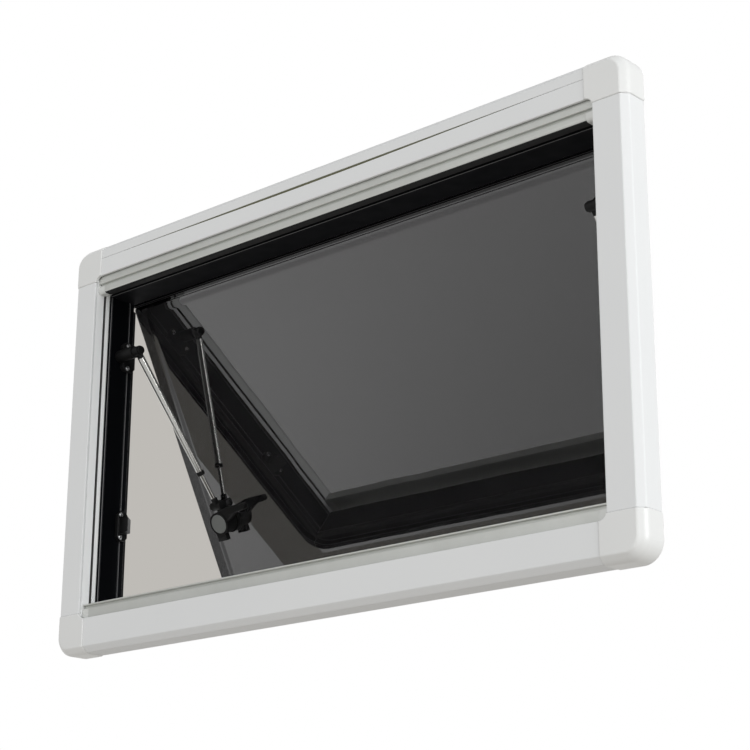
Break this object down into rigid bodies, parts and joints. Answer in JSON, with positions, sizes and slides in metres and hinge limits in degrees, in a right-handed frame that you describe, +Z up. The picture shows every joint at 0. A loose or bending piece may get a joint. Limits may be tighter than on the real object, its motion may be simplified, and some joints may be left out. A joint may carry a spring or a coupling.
{
  "type": "camper window",
  "caption": "Top-hung camper window standing open: inner frame with blind bars, outer frame, domed double acrylic sash, telescopic stays and turning latches.",
  "frame": {"origin": "middle of the bottom outer flange, on the face that bears on the outside of the wall", "axes": "+X across the window as seen from the room, +Y outdoors through the wall, +Z up"},
  "size_m": [0.774, 0.2529, 0.472],
  "materials": {
    "white_profile": "satin white coating",
    "white_corner": "moulded, semi-gloss",
    "white_rail": "satin white coating",
    "grey_bar": "satin anodised",
    "pale_cap": "moulded, matt",
    "roller_metal": "mill finish",
    "bearing_plastic": "moulded, matt",
    "black_frame": "satin black coating",
    "tinted_acrylic": "grey tinted, polished",
    "seal_rubber": "matt",
    "black_plastic": "moulded, satin",
    "stay_chrome": "polished",
    "grey_cap": "moulded, matt"
  },
  "bodies": {
    "window": {"blind_bar_end_caps": "pale_cap", "blind_pull_bar": "grey_bar", "blind_roller": "roller_metal", "blind_roller_bearings": "bearing_plastic", "cassette_cover": "white_profile", "flyscreen_bar_end_caps": "pale_cap", "flyscreen_pull_bar": "grey_bar", "flyscreen_roller": "roller_metal", "flyscreen_roller_bearings": "bearing_plastic", "head": "black_frame", "inner_frame_bottom_profile": "white_profile", "inner_frame_top_profile": "white_profile", "inner_pane": "tinted_acrylic", "left_bottom_corner": "white_corner", "left_guide_rail": "white_rail", "left_jamb": "black_frame", "left_latch_base": "black_plastic", "left_latch_striker": "black_plastic", "left_side_profile": "white_profile", "left_stay_bracket": "black_plastic", "left_stay_eye": "black_plastic", "left_stay_ferrule": "black_plastic", "left_stay_foot": "black_plastic", "left_stay_rod": "stay_chrome", "left_stay_tube": "stay_chrome", "left_top_corner": "white_corner", "outer_pane": "tinted_acrylic", "right_bottom_corner": "white_corner", "right_guide_rail": "white_rail", "right_jamb": "black_frame", "right_latch_base": "black_plastic", "right_latch_striker": "black_plastic", "right_side_profile": "white_profile", "right_stay_bracket": "black_plastic", "right_stay_eye": "black_plastic", "right_stay_ferrule": "black_plastic", "right_stay_foot": "black_plastic", "right_stay_rod": "stay_chrome", "right_stay_tube": "stay_chrome", "right_top_corner": "white_corner", "sash_hinge_profile": "black_frame", "sash_seal": "seal_rubber", "sill": "black_frame"},
    "left_latch": {"left_latch_lever": "black_plastic", "left_latch_cap": "grey_cap"},
    "right_latch": {"right_latch_lever": "black_plastic", "right_latch_cap": "grey_cap"}
  },
  "joints": [
    {"name": "left_latch_turn", "type": "hinge", "parent": "window", "child": "left_latch", "pos_m": [-0.3096, 0.13016, 0.15588], "axis": [0, -0.8894, -0.4571], "range_deg": [-90, 0]},
    {"name": "right_latch_turn", "type": "hinge", "parent": "window", "child": "right_latch", "pos_m": [0.3096, 0.13016, 0.15588], "axis": [0, 0.8894, 0.4571], "range_deg": [-90, 0]}
  ]
}
